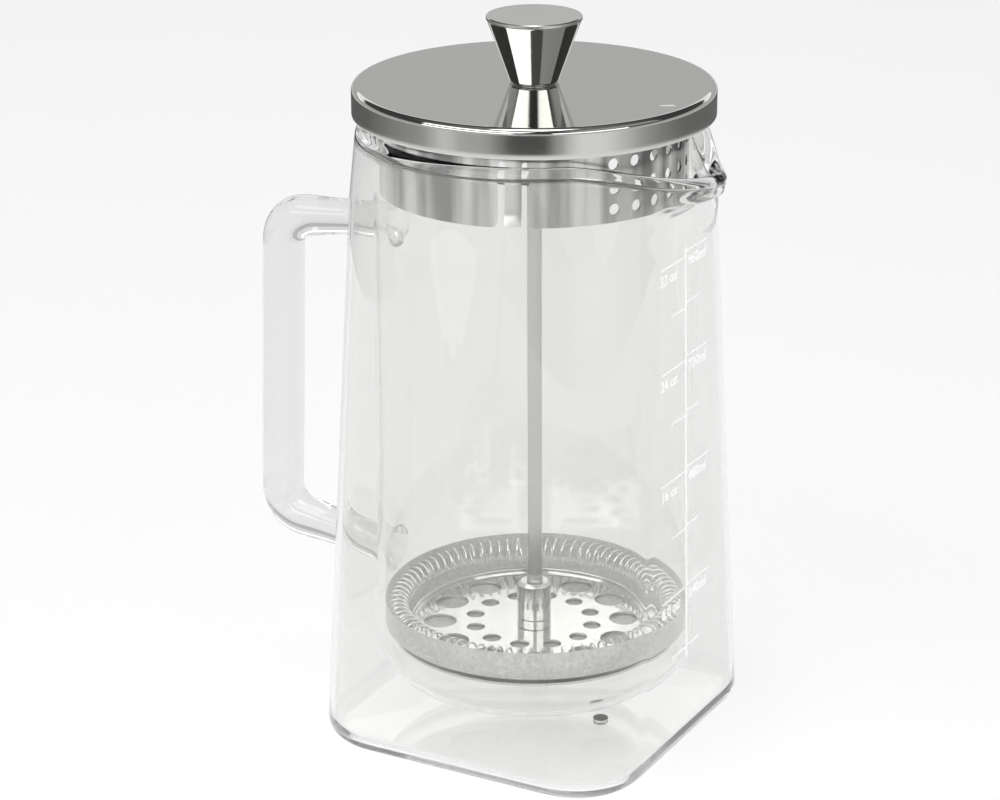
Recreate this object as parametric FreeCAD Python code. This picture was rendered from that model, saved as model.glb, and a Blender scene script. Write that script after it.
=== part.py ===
import FreeCAD, Part
import math
import os

# Double-walled glass french press, millimetres.
# Origin: centre of the base, on the face it rests on.  +Z up, +X to the spout, handle at -X.

V = FreeCAD.Vector
UP = V(0, 0, 1)
ORIGIN = V(0, 0, 0)

# ---- glass body ------------------------------------------------------------
RIM_Z = 192.6                # top of the fused rim
RIM_FLANGE = 3.0             # depth of the solid ring that joins the two walls
RIM_ROUND = 1.2
RIM_RADIUS = 53.0            # outer radius just under the rim
BASE_HALF = 53.6             # half width of the rounded-square base
BASE_CORNER = 22.3           # corner radius of the base in plan
NECK_Z = 167.0               # the flats taper up to here, then open to the round rim
NECK_HALF = 50.0
NECK_CORNER = 34.9
BASE_EDGE = 6.0              # rounding between base and wall
OUTER_WALL = 1.6
OUTER_FLOOR = 3.0
BEAKER_RADIUS = 46.8         # inside of the round inner wall
BEAKER_WALL = 1.3
BEAKER_FLOOR_Z = 18.0
BEAKER_CORNER = 12.0
VENT_RADIUS = 2.5
VENT_X = 24.0                # sealing hole of the air gap, under the base

# ---- spout, a teardrop pulled out of the round rim --------------------------
SPOUT_CENTRE = 55.4          # centre of the small circle at the tip
SPOUT_OUTER = 7.0
SPOUT_INNER = 3.0
SPOUT_FULL_Z = 186.0         # full width from here to the rim
SPOUT_FOOT_Z = 174.0         # where it runs out into the wall

# ---- handle ----------------------------------------------------------------
HANDLE_TOP = (-89.0, 151.7)      # corners of the centre line, (x, z)
HANDLE_BOTTOM = (-92.6, 51.8)
HANDLE_ROOT_TOP_Z = 156.2    # the two legs splay towards the wall
HANDLE_ROOT_BOTTOM_Z = 44.6
HANDLE_ROOT_X = -44.0
HANDLE_RADIUS = 6.3
HANDLE_BEND = 8.5
WELD_RADIUS = 7.8
WELD_LENGTH = 3.5

# ---- lid and strainer --------------------------------------------------------
LID_TOP_Z = 204.9
LID_RADIUS = 54.0
LID_SKIRT = 8.9
LID_SHEET = 0.8
LID_EDGE = 2.4
LID_HOLE = 4.0
COLLAR_RADIUS = 45.9
COLLAR_SHEET = 0.6
COLLAR_BOTTOM_Z = 174.0
COLLAR_FLANGE_INNER = 38.0
SLOT_WIDTH = 2.1
SLOT_TOP_Z = 193.1
TONGUE_WIDTH = 4.7
TONGUE_SHORT = 0.7           # the tongues end this far above the collar's edge
TONGUE_ANGLES = (-69.2, 70.8, 180.8)
POUR_HOLE_RADIUS = 1.7
POUR_CENTRE = 0.8            # degrees, middle of the pouring holes
POUR_COLUMNS = 8
POUR_PITCH = 9.5             # degrees between columns of pouring holes
POUR_ROWS_Z = (191.0, 184.0, 177.9)

# ---- bush in the lid's centre --------------------------------------------------
BUSH_BORE = 2.33
BUSH_NECK = 3.9
BUSH_FLANGE = 7.5
BUSH_GAP = 0.12              # play between the bush and the lid that turns on it
BUSH_FLANGE_DEPTH = 1.5
BUSH_TAIL = 6.0
RETAINER_RADIUS = 5.8
RETAINER_THICK = 0.8

# ---- plunger ---------------------------------------------------------------------
ROD_RADIUS = 2.25
ROD_BOTTOM_Z = 27.0
ROD_TOP_Z = 217.0
KNOB_BOTTOM_Z = 205.5
KNOB_TOP_Z = 225.0
KNOB_WAIST = 7.36
KNOB_TOP_RADIUS = 13.9
KNOB_CAP_RADIUS = 14.18
KNOB_CAP_THICK = 1.2
KNOB_CAP_BEVEL = 0.3
KNOB_WALL = 1.2
KNOB_RECESS_RADIUS = 6.3
KNOB_RECESS = 1.3
INSERT_RADIUS = 4.0
PLATE_Z = 31.0               # underside of the spring plate
PLATE_SHEET = 0.8
PLATE_RADIUS = 38.75
BEAD_RADIUS = 38.1           # bright bead round the spring plate
BEAD_HEIGHT = 1.9
BIG_HOLES = 12
BIG_HOLE_RADIUS = 5.15
BIG_HOLE_CIRCLE = 29.2
SMALL_HOLE_RADIUS = 2.85
SMALL_HOLE_CIRCLE = 18.7
HUB_RADIUS = 5.05
HUB_TOP_Z = 45.3
HUB_CHAMFER = 1.0
HUB_GROOVE_Z = 33.1
HUB_GROOVE = 0.35
COIL_TURNS = 84
COIL_CENTRE_RADIUS = 42.4
COIL_RADIUS = 3.3
COIL_WIRE = 0.25
COIL_Z = 37.8
SCREEN_SHEET = 0.4
SCREEN_RADIUS = 46.4
SCREEN_TOP_Z = 41.7
SCREEN_CORNER = 2.6
SCREEN_FLOOR = 0.5
CROSS_RADIUS = 43.8
CROSS_SHEET = 0.8
CROSS_HOLES = 8
CROSS_HOLE_RADIUS = 8.5
CROSS_HOLE_CIRCLE = 30.0
NUT_FLATS = 8.0
NUT_HEIGHT = 4.3

SECTION_POINTS = 96


def outward(solid):
    """The same solid with its faces turned to point outwards."""
    if solid.Volume < 0:
        solid.reverse()
    return solid


def revolve_wire(edges):
    """Solid of revolution about Z from a closed outline in the XZ plane."""
    return outward(Part.Face(Part.Wire(edges)).revolve(ORIGIN, UP, 360))


def revolve(points):
    """Solid of revolution about Z from (radius, height) corners."""
    wire = Part.makePolygon([V(r, 0, z) for r, z in points + points[:1]])
    return revolve_wire(wire.Edges)


def cylinder(radius, z0, z1, x=0.0, y=0.0):
    return Part.makeCylinder(radius, z1 - z0, V(x, y, z0), UP)


def tube(outer, inner, z0, z1):
    return cylinder(outer, z0, z1).cut(cylinder(inner, z0 - 1, z1 + 1))


def line(a, b):
    return Part.LineSegment(V(a[0], 0, a[1]), V(b[0], 0, b[1])).toShape()


def quarter(centre, radius, start_deg):
    """Quarter circle in the XZ plane, running on by 90 degrees from start_deg."""
    ends = []
    for step in (0, 45, 90):
        a = math.radians(start_deg + step)
        ends.append(V(centre[0] + radius * math.cos(a), 0, centre[1] + radius * math.sin(a)))
    return Part.Arc(*ends).toShape()


def rounded_square(angle, half, corner):
    """Distance from the axis to the edge of a rounded square, in a direction."""
    a = abs((angle + math.pi / 4) % (math.pi / 2) - math.pi / 4)
    straight = half - corner
    if half * math.tan(a) <= straight:
        return half / math.cos(a)
    across = straight * (math.cos(a) - math.sin(a))
    return straight * (math.cos(a) + math.sin(a)) + math.sqrt(corner ** 2 - across ** 2)


def teardrop(angle, radius, centre, tip):
    """Distance to the outline round a circle on the axis and a small one at x = centre."""
    a = abs((angle + math.pi) % (2 * math.pi) - math.pi)
    tangent = math.acos((radius - tip) / centre)
    tip_end = math.atan2(tip * math.sin(tangent), centre + tip * math.cos(tangent))
    if a >= tangent:
        return radius
    if a >= tip_end:
        return radius / math.cos(tangent - a)
    return centre * math.cos(a) + math.sqrt(tip ** 2 - (centre * math.sin(a)) ** 2)


def spout_reach(z):
    """How far the spout is pulled out at a height, 0 to 1."""
    t = (z - SPOUT_FOOT_Z) / (SPOUT_FULL_Z - SPOUT_FOOT_Z)
    t = min(max(t, 0.0), 1.0)
    return t * t * (3 - 2 * t)


def blend(low, high, t):
    t = min(max(t, 0.0), 1.0)
    return low + (high - low) * t


def outer_distance(angle, z, inset):
    """Outer skin of the glass: square at the foot, round at the rim, with the spout."""
    up = z / NECK_Z
    out = (z - NECK_Z) / (RIM_Z - NECK_Z)
    half = blend(blend(BASE_HALF, NECK_HALF, up), RIM_RADIUS, out)
    corner = min(blend(blend(BASE_CORNER, NECK_CORNER, up), RIM_RADIUS, out), half)
    body = rounded_square(angle, half - inset, corner - inset)
    pulled = teardrop(angle, RIM_RADIUS - inset, SPOUT_CENTRE, SPOUT_OUTER - inset)
    bump = max(pulled - (RIM_RADIUS - inset), 0.0)
    return body + bump * spout_reach(z)


def inner_distance(angle, z, grow):
    """Inner skin of the beaker with the channel of the spout, grown outwards."""
    radius = BEAKER_RADIUS + grow
    pulled = teardrop(angle, radius, SPOUT_CENTRE, SPOUT_INNER + grow)
    return radius + (pulled - radius) * spout_reach(z)


def section(distance, z, offset):
    """Closed smooth outline at one height."""
    points = []
    for i in range(SECTION_POINTS):
        angle = 2 * math.pi * i / SECTION_POINTS
        r = distance(angle, z, offset)
        points.append(V(r * math.cos(angle), r * math.sin(angle), z))
    curve = Part.BSplineCurve()
    curve.interpolate(points, PeriodicFlag=True)
    return Part.Wire(curve.toShape())


def ruled_solid(wires):
    return outward(Part.makeLoft(wires, True, True))


def heights(low, high, steps):
    return [low + (high - low) * i / steps for i in range(steps + 1)]


def outer_skin(z_top):
    """Solid bounded by the outer skin, its foot edge rounded, up to z_top."""
    wires = []
    for deg in (0, 30, 60, 90):
        turn = math.radians(deg)
        inset = BASE_EDGE * (1 - math.sin(turn))
        wires.append(section(outer_distance, BASE_EDGE * (1 - math.cos(turn)), inset))
    for z in heights(BASE_EDGE, SPOUT_FOOT_Z, 8)[1:]:
        wires.append(section(outer_distance, z, 0.0))
    for z in heights(SPOUT_FOOT_Z, z_top, 6)[1:]:
        wires.append(section(outer_distance, z, 0.0))
    return ruled_solid(wires)


def rim_ring():
    """Solid ring above the seam of the two walls, its outer upper edge rounded."""
    wires = [section(outer_distance, RIM_Z - RIM_FLANGE, 0.0)]
    for deg in (0, 30, 60, 90):
        turn = math.radians(deg)
        z = RIM_Z - RIM_ROUND * (1 - math.sin(turn))
        wires.append(section(outer_distance, z, RIM_ROUND * (1 - math.cos(turn))))
    return ruled_solid(wires)


def make_outer_glass():
    top = RIM_Z - RIM_FLANGE
    wires = []
    for z in [OUTER_FLOOR] + heights(BASE_EDGE + OUTER_FLOOR, SPOUT_FOOT_Z, 8):
        inset = OUTER_WALL if z > BASE_EDGE else OUTER_WALL + BASE_EDGE
        wires.append(section(outer_distance, z, inset))
    for z in heights(SPOUT_FOOT_Z, top, 6)[1:]:
        wires.append(section(outer_distance, z, OUTER_WALL))
    wires.append(section(outer_distance, top + 1, OUTER_WALL))
    glass = outer_skin(top).cut(ruled_solid(wires))
    return glass.cut(cylinder(VENT_RADIUS, -1, OUTER_FLOOR + 1, VENT_X))


def beaker_sections(grow, top):
    """Outlines of the beaker's inside, grown outwards: rounded foot, straight wall, spout."""
    corner = BEAKER_CORNER + grow
    floor = BEAKER_FLOOR_Z - grow
    wires = []
    for deg in (0, 18, 36, 54, 72, 90):
        turn = math.radians(deg)
        inset = corner * (1 - math.sin(turn))
        wires.append(section(inner_distance, floor + corner * (1 - math.cos(turn)), grow - inset))
    for z in heights(SPOUT_FOOT_Z, top, 6):
        wires.append(section(inner_distance, z, grow))
    return wires


def make_inner_glass():
    seam = RIM_Z - RIM_FLANGE
    shell = ruled_solid(beaker_sections(BEAKER_WALL, seam)).fuse(rim_ring())
    inside = beaker_sections(0.0, RIM_Z - RIM_ROUND)
    for deg in (30, 60, 90):
        turn = math.radians(deg)
        z = RIM_Z - RIM_ROUND * (1 - math.sin(turn))
        inside.append(section(inner_distance, z, RIM_ROUND * (1 - math.cos(turn))))
    inside.append(section(inner_distance, RIM_Z + 1, RIM_ROUND))
    return outward(shell.cut(ruled_solid(inside)))


def make_vent_plug():
    return cylinder(VENT_RADIUS, 0.0, OUTER_FLOOR, VENT_X)


def handle_path():
    """Centre line of the handle: leg, bend, grip, bend, leg."""
    corners = [
        V(HANDLE_ROOT_X, 0, HANDLE_ROOT_TOP_Z),
        V(HANDLE_TOP[0], 0, HANDLE_TOP[1]),
        V(HANDLE_BOTTOM[0], 0, HANDLE_BOTTOM[1]),
        V(HANDLE_ROOT_X, 0, HANDLE_ROOT_BOTTOM_Z),
    ]
    edges = []
    start = corners[0]
    for before, corner, after in zip(corners, corners[1:], corners[2:]):
        arrive = (before - corner).normalize()
        leave = (after - corner).normalize()
        half_angle = arrive.getAngle(leave) / 2
        trim = HANDLE_BEND / math.tan(half_angle)
        middle = (arrive + leave).normalize()
        centre = corner + middle * (HANDLE_BEND / math.sin(half_angle))
        first = corner + arrive * trim
        last = corner + leave * trim
        edges.append(Part.LineSegment(start, first).toShape())
        edges.append(Part.Arc(first, centre - middle * HANDLE_BEND, last).toShape())
        start = last
    edges.append(Part.LineSegment(start, corners[-1]).toShape())
    return edges


def make_handle(body):
    """Solid glass rod, bent to a D, with flared welds where it meets the wall."""
    edges = handle_path()
    rod = None
    for edge in edges:
        start = edge.valueAt(edge.FirstParameter)
        along = edge.tangentAt(edge.FirstParameter)
        ring = Part.Wire(Part.Circle(start, along, HANDLE_RADIUS).toShape())
        piece = Part.Wire(edge).makePipeShell([ring], True, True)
        rod = piece if rod is None else rod.fuse(piece)
    for leg in (edges[0], edges[-1]):
        points = [leg.valueAt(leg.FirstParameter), leg.valueAt(leg.LastParameter)]
        root = max(points, key=lambda p: p.x)
        away = (min(points, key=lambda p: p.x) - root).normalize()
        wall = root + away * ((-outer_distance(math.pi, root.z, 0.0) - root.x) / away.x)
        weld = Part.makeCone(WELD_RADIUS, HANDLE_RADIUS, WELD_LENGTH, wall, away)
        back = Part.makeCylinder(WELD_RADIUS, WELD_LENGTH, wall, away * -1)
        rod = rod.fuse(weld).fuse(back)
    return rod.cut(body)


def make_lid_cap():
    """Flat pressed cap with a rolled shoulder and a straight skirt."""
    bottom = LID_TOP_Z - LID_SKIRT
    inner = LID_RADIUS - LID_SHEET
    under = LID_TOP_Z - LID_SHEET
    bend = LID_EDGE - LID_SHEET
    shoulder = (LID_RADIUS - LID_EDGE, LID_TOP_Z - LID_EDGE)
    edges = [
        line((LID_HOLE, LID_TOP_Z), (shoulder[0], LID_TOP_Z)),
        quarter(shoulder, LID_EDGE, 0),
        line((LID_RADIUS, shoulder[1]), (LID_RADIUS, bottom)),
        line((LID_RADIUS, bottom), (inner, bottom)),
        line((inner, bottom), (inner, shoulder[1])),
        quarter(shoulder, bend, 0),
        line((shoulder[0], under), (LID_HOLE, under)),
        line((LID_HOLE, under), (LID_HOLE, LID_TOP_Z)),
    ]
    return revolve_wire(Part.__sortEdges__(edges))


def box_out(angle_deg, across, width, z0, z1):
    """Block that reaches out from the axis through the collar at an angle."""
    block = Part.makeBox(2 * COLLAR_RADIUS, width, z1 - z0, V(0, across - width / 2, z0))
    block.rotate(ORIGIN, UP, angle_deg)
    return block


def make_strainer_collar():
    """Pressed ring under the lid: flange, slotted wall with spring tongues, pouring holes."""
    top = LID_TOP_Z - LID_SHEET
    collar = tube(COLLAR_RADIUS, COLLAR_RADIUS - COLLAR_SHEET, COLLAR_BOTTOM_Z, top)
    collar = collar.fuse(tube(COLLAR_RADIUS, COLLAR_FLANGE_INNER, top - COLLAR_SHEET, top))
    for angle in TONGUE_ANGLES:
        for side in (-1, 1):
            across = side * (TONGUE_WIDTH + SLOT_WIDTH) / 2
            collar = collar.cut(box_out(angle, across, SLOT_WIDTH, COLLAR_BOTTOM_Z - 1, SLOT_TOP_Z))
        low = COLLAR_BOTTOM_Z - 1
        collar = collar.cut(box_out(angle, 0, TONGUE_WIDTH, low, COLLAR_BOTTOM_Z + TONGUE_SHORT))
    for column in range(POUR_COLUMNS):
        angle = math.radians(POUR_CENTRE + (column - (POUR_COLUMNS - 1) / 2) * POUR_PITCH)
        for z in POUR_ROWS_Z:
            outward = V(math.cos(angle), math.sin(angle), 0)
            start = outward * (COLLAR_RADIUS - 5) + V(0, 0, z)
            collar = collar.cut(Part.makeCylinder(POUR_HOLE_RADIUS, 10, start, outward))
    return collar


def make_guide_bush():
    top = LID_TOP_Z + BUSH_GAP + RETAINER_THICK
    under = LID_TOP_Z - LID_SHEET - BUSH_GAP
    return revolve([
        (BUSH_BORE, under - BUSH_TAIL),
        (BUSH_NECK, under - BUSH_TAIL),
        (BUSH_NECK, under - BUSH_FLANGE_DEPTH),
        (BUSH_FLANGE, under - BUSH_FLANGE_DEPTH),
        (BUSH_FLANGE, under),
        (BUSH_NECK, under),
        (BUSH_NECK, top),
        (BUSH_BORE, top),
    ])


def make_bush_retainer():
    low = LID_TOP_Z + BUSH_GAP
    return tube(RETAINER_RADIUS, BUSH_NECK, low, low + RETAINER_THICK)


def knob_floor():
    return KNOB_BOTTOM_Z + KNOB_RECESS


def make_knob_body():
    """Turned cone, hollow inside, open at the top for the cap and below for the bush."""
    top = KNOB_TOP_Z - KNOB_CAP_THICK
    slope = (KNOB_TOP_RADIUS - KNOB_WAIST) / (top - KNOB_BOTTOM_Z)
    floor = knob_floor() + 2.0
    outer = revolve([
        (0, KNOB_BOTTOM_Z),
        (KNOB_WAIST, KNOB_BOTTOM_Z),
        (KNOB_TOP_RADIUS, top),
        (0, top),
    ])
    hollow = revolve([
        (0, floor),
        (KNOB_WAIST + slope * (floor - KNOB_BOTTOM_Z) - KNOB_WALL, floor),
        (KNOB_TOP_RADIUS - KNOB_WALL, top),
        (0, top),
    ])
    knob = outer.cut(hollow).cut(cylinder(KNOB_RECESS_RADIUS, KNOB_BOTTOM_Z - 1, knob_floor()))
    return knob.cut(cylinder(INSERT_RADIUS, KNOB_BOTTOM_Z - 1, floor + 1))


def make_knob_cap():
    low = KNOB_TOP_Z - KNOB_CAP_THICK
    return revolve([
        (0, low),
        (KNOB_CAP_RADIUS, low),
        (KNOB_CAP_RADIUS, KNOB_TOP_Z - KNOB_CAP_BEVEL),
        (KNOB_CAP_RADIUS - KNOB_CAP_BEVEL, KNOB_TOP_Z),
        (0, KNOB_TOP_Z),
    ])


def make_knob_insert():
    """Threaded sleeve between the rod and the knob, closed at its upper end."""
    sleeve = cylinder(INSERT_RADIUS, knob_floor(), KNOB_TOP_Z - KNOB_CAP_THICK)
    return sleeve.cut(cylinder(ROD_RADIUS, knob_floor() - 1, ROD_TOP_Z))


def make_rod():
    return cylinder(ROD_RADIUS, ROD_BOTTOM_Z, ROD_TOP_Z)


def make_filter_hub():
    """Threaded sleeve with a chamfered top and a turned groove near its foot."""
    foot = PLATE_Z + PLATE_SHEET
    return revolve([
        (ROD_RADIUS, foot),
        (HUB_RADIUS, foot),
        (HUB_RADIUS, HUB_GROOVE_Z),
        (HUB_RADIUS - HUB_GROOVE, HUB_GROOVE_Z + HUB_GROOVE),
        (HUB_RADIUS, HUB_GROOVE_Z + 2 * HUB_GROOVE),
        (HUB_RADIUS, HUB_TOP_Z - HUB_CHAMFER),
        (HUB_RADIUS - HUB_CHAMFER, HUB_TOP_Z),
        (ROD_RADIUS, HUB_TOP_Z),
    ])


def ring_of_holes(plate, count, circle, radius, first_deg):
    for i in range(count):
        a = math.radians(first_deg + 360.0 * i / count)
        hole = cylinder(radius, PLATE_Z - 10, PLATE_Z + 10, circle * math.cos(a), circle * math.sin(a))
        plate = plate.cut(hole)
    return plate


def make_spring_plate():
    """Disc with two rings of holes and a raised bead near its edge."""
    top = PLATE_Z + PLATE_SHEET
    bead_half = PLATE_RADIUS - BEAD_RADIUS
    plate = revolve([
        (ROD_RADIUS, PLATE_Z),
        (PLATE_RADIUS, PLATE_Z),
        (PLATE_RADIUS, PLATE_Z + BEAD_HEIGHT),
        (BEAD_RADIUS, PLATE_Z + BEAD_HEIGHT + bead_half / 2),
        (BEAD_RADIUS - bead_half, PLATE_Z + BEAD_HEIGHT),
        (BEAD_RADIUS - bead_half, top),
        (ROD_RADIUS, top),
    ])
    step = 360.0 / BIG_HOLES
    plate = ring_of_holes(plate, BIG_HOLES, BIG_HOLE_CIRCLE, BIG_HOLE_RADIUS, 0)
    return ring_of_holes(plate, BIG_HOLES, SMALL_HOLE_CIRCLE, SMALL_HOLE_RADIUS, step / 2)


def make_rim_spring():
    """Edge spring as separate turns, each a ring of wire that stands across the rim."""
    turns = []
    for i in range(COIL_TURNS):
        a = 2 * math.pi * i / COIL_TURNS
        centre = V(COIL_CENTRE_RADIUS * math.cos(a), COIL_CENTRE_RADIUS * math.sin(a), COIL_Z)
        along = V(-math.sin(a), math.cos(a), 0)
        turns.append(Part.makeTorus(COIL_RADIUS, COIL_WIRE, centre, along))
    return Part.makeCompound(turns)


def screen_profile(radius, corner, floor, top):
    edges = [
        line((ROD_RADIUS, floor), (radius - corner, floor)),
        quarter((radius - corner, floor + corner), corner, -90),
        line((radius, floor + corner), (radius, top)),
        line((radius, top), (ROD_RADIUS, top)),
        line((ROD_RADIUS, top), (ROD_RADIUS, floor)),
    ]
    return revolve_wire(edges)


def make_mesh_screen():
    """Closed solid that stands for the woven disc with its turned-up edge."""
    floor = PLATE_Z - SCREEN_FLOOR
    outer = screen_profile(SCREEN_RADIUS, SCREEN_CORNER, floor, SCREEN_TOP_Z)
    hollow_corner = SCREEN_CORNER - SCREEN_SHEET
    inner_radius = SCREEN_RADIUS - SCREEN_SHEET
    return outer.cut(screen_profile(inner_radius, hollow_corner, PLATE_Z, SCREEN_TOP_Z + 1))


def make_cross_plate():
    top = PLATE_Z - SCREEN_FLOOR
    plate = tube(CROSS_RADIUS, ROD_RADIUS, top - CROSS_SHEET, top)
    return ring_of_holes(plate, CROSS_HOLES, CROSS_HOLE_CIRCLE, CROSS_HOLE_RADIUS, 22.5)


def make_bottom_nut():
    """Hexagon nut, closed below, on the threaded end of the rod."""
    top = PLATE_Z - SCREEN_FLOOR - CROSS_SHEET
    corner = NUT_FLATS / math.sqrt(3)
    points = []
    for i in range(7):
        a = math.radians(60 * i)
        points.append(V(corner * math.cos(a), corner * math.sin(a), top - NUT_HEIGHT))
    nut = Part.Face(Part.makePolygon(points)).extrude(V(0, 0, NUT_HEIGHT))
    return nut.cut(cylinder(ROD_RADIUS, ROD_BOTTOM_Z, top + 1))


def build():
    outer_glass = make_outer_glass()
    return {
        "outer_glass": outer_glass,
        "inner_glass": make_inner_glass(),
        "handle": make_handle(outer_skin(RIM_Z - RIM_FLANGE)),
        "vent_plug": make_vent_plug(),
        "lid_cap": make_lid_cap(),
        "strainer_collar": make_strainer_collar(),
        "guide_bush": make_guide_bush(),
        "bush_retainer": make_bush_retainer(),
        "knob_body": make_knob_body(),
        "knob_cap": make_knob_cap(),
        "knob_insert": make_knob_insert(),
        "rod": make_rod(),
        "filter_hub": make_filter_hub(),
        "spring_plate": make_spring_plate(),
        "rim_spring": make_rim_spring(),
        "mesh_screen": make_mesh_screen(),
        "cross_plate": make_cross_plate(),
        "bottom_nut": make_bottom_nut(),
    }


os.makedirs("parts", exist_ok=True)
for name, shape in build().items():
    shape.exportStep("parts/" + name + ".step")
    box = shape.BoundBox
    print(name, len(shape.Solids), shape.isValid(), round(shape.Volume),
          [round(v, 2) for v in (box.XMin, box.YMin, box.ZMin, box.XMax, box.YMax, box.ZMax)])
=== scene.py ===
import math

import bpy
import numpy as np
from mathutils.geometry import delaunay_2d_cdt
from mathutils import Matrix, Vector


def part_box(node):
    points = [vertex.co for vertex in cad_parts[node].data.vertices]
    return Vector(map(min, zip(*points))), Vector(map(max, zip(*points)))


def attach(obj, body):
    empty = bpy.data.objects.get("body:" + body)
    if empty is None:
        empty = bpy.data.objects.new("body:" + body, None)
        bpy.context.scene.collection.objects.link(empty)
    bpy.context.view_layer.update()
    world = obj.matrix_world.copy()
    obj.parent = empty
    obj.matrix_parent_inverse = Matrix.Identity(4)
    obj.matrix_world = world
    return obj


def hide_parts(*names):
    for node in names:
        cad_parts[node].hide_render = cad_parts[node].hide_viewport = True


# Double-walled glass french press.  Lengths in this script are millimetres; +X is the spout,
# -X the handle, +Z up.  Meshes are scaled to metres when they are made.

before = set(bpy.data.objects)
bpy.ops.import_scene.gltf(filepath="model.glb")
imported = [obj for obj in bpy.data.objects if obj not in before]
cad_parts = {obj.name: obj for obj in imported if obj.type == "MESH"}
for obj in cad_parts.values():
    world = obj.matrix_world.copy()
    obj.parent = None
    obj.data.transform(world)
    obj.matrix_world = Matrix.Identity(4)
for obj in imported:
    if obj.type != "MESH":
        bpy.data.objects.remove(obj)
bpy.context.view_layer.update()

MM = 0.001


def box_mm(node):
    low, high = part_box(node)
    return low / MM, high / MM


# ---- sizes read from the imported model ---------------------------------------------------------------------
lid_low, lid_high = box_mm("lid_cap")
collar_low, collar_high = box_mm("strainer_collar")
knob_low, knob_high = box_mm("knob_body")
cap_low, cap_high = box_mm("knob_cap")
hub_low, hub_high = box_mm("filter_hub")
plate_low, plate_high = box_mm("spring_plate")
coil_low, coil_high = box_mm("rim_spring")
screen_low, screen_high = box_mm("mesh_screen")
rod_high = box_mm("rod")[1]
glass_high = box_mm("inner_glass")[1]

# ---- glass ------------------------------------------------------------------------------------------------
RIM_Z = glass_high.z
RIM_RADIUS = glass_high.y
RIM_ARCH = 2.2               # height of the rounded top of the rim
BASE_CORNER = 22.3
NECK_Z = 167.0
NECK_HALF = 50.0
NECK_CORNER = 34.9
BASE_EDGE = 6.0
# The widest place is just above the rounded edge, and the walls taper from the worktop up.
BASE_HALF = (box_mm("outer_glass")[1].y * NECK_Z - NECK_HALF * BASE_EDGE) / (NECK_Z - BASE_EDGE)
OUTER_WALL = 1.6
OUTER_FLOOR = 3.0
BEAKER_RADIUS = 46.8
BEAKER_WALL = 1.3
BEAKER_FLOOR_Z = 18.0
BEAKER_CORNER = 12.0
RIM_SOLID = 3.2              # solid glass above the space between the walls
VOID_TOP_Z = RIM_Z - RIM_SOLID
VOID_ARCH = 1.4
SPOUT_CENTRE = 55.4
SPOUT_OUTER = 7.0
SPOUT_INNER = 3.0
SPOUT_FOOT_Z = 174.0
SPOUT_FULL_Z = 186.0
SPOUT_DIP = 7.8              # how much lower the lip is at the tip of the spout
DIP_FOOT_Z = 167.0
DIP_START = math.radians(50)
DIP_FULL = math.radians(7)
BEAKER_TAPER = 0.9           # the beaker is this much wider in radius at its foot

HANDLE_TOP = (-89.0, 151.7)
HANDLE_BOTTOM = (-92.6, 51.8)
HANDLE_ROOT_TOP_Z = 156.2
HANDLE_ROOT_BOTTOM_Z = 44.6
HANDLE_ROOT_X = -44.0
HANDLE_BEND = 9.5
GRIP_RADIUS = 6.75
LEG_RADIUS = 5.6
WELD_RADIUS = 8.0
WELD_FADE = 1.8              # how quickly the weld narrows to the leg
GRIP_START = 14.0            # distance from the wall where the grip begins to thicken
GRIP_RUN = 22.0

GLASS_SEGMENTS = 360
angles = np.arange(GLASS_SEGMENTS) * 2 * math.pi / GLASS_SEGMENTS
ROUND_OFF = math.radians(1.6)


def rounded_square(angle, half, corner):
    a = np.abs((angle + math.pi / 4) % (math.pi / 2) - math.pi / 4)
    straight = half - corner
    across = straight * (np.cos(a) - np.sin(a))
    arc = straight * (np.cos(a) + np.sin(a)) + np.sqrt(np.maximum(corner ** 2 - across ** 2, 0))
    return np.where(half * np.tan(a) <= straight, half / np.cos(a), arc)


def teardrop(angle, radius, centre, tip):
    a = np.abs((angle + math.pi) % (2 * math.pi) - math.pi)
    tangent = math.acos((radius - tip) / centre)
    tip_end = math.atan2(tip * math.sin(tangent), centre + tip * math.cos(tangent))
    point = centre * np.cos(a) + np.sqrt(np.maximum(tip ** 2 - (centre * np.sin(a)) ** 2, 0))
    side = radius / np.cos(np.clip(tangent - a, 0, 1.4))
    return np.where(a >= tangent, radius, np.where(a >= tip_end, side, point))


def soften(ring):
    """The same ring of distances with its changes of curvature evened out."""
    wave = np.arange(len(ring) // 2 + 1)
    return np.fft.irfft(np.fft.rfft(ring) * np.exp(-0.5 * (wave * ROUND_OFF) ** 2), len(ring))


def blend(low, high, t):
    return low + (high - low) * min(max(t, 0.0), 1.0)


def spout_reach(z):
    t = min(max((z - SPOUT_FOOT_Z) / (SPOUT_FULL_Z - SPOUT_FOOT_Z), 0.0), 1.0)
    return t * t * (3 - 2 * t)


def outer_ring(z, inset=0.0):
    """Distance of the outer skin from the axis, all round, at a height."""
    up = z / NECK_Z
    out = (z - NECK_Z) / (RIM_Z - NECK_Z)
    half = blend(blend(BASE_HALF, NECK_HALF, up), RIM_RADIUS, out)
    corner = min(blend(blend(BASE_CORNER, NECK_CORNER, up), RIM_RADIUS, out), half)
    body = rounded_square(angles, half - inset, corner - inset)
    pulled = teardrop(angles, RIM_RADIUS - inset, SPOUT_CENTRE, SPOUT_OUTER - inset)
    bump = np.maximum(pulled - (RIM_RADIUS - inset), 0.0)
    return soften(body + bump * spout_reach(z))


def inner_ring(z, grow=0.0):
    """Distance of the beaker's inside from the axis, grown outwards."""
    radius = BEAKER_RADIUS + grow + BEAKER_TAPER * (1 - min(z / NECK_Z, 1.0))
    pulled = teardrop(angles, radius, SPOUT_CENTRE, SPOUT_INNER + grow)
    return soften(radius + (pulled - radius) * spout_reach(z))


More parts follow.
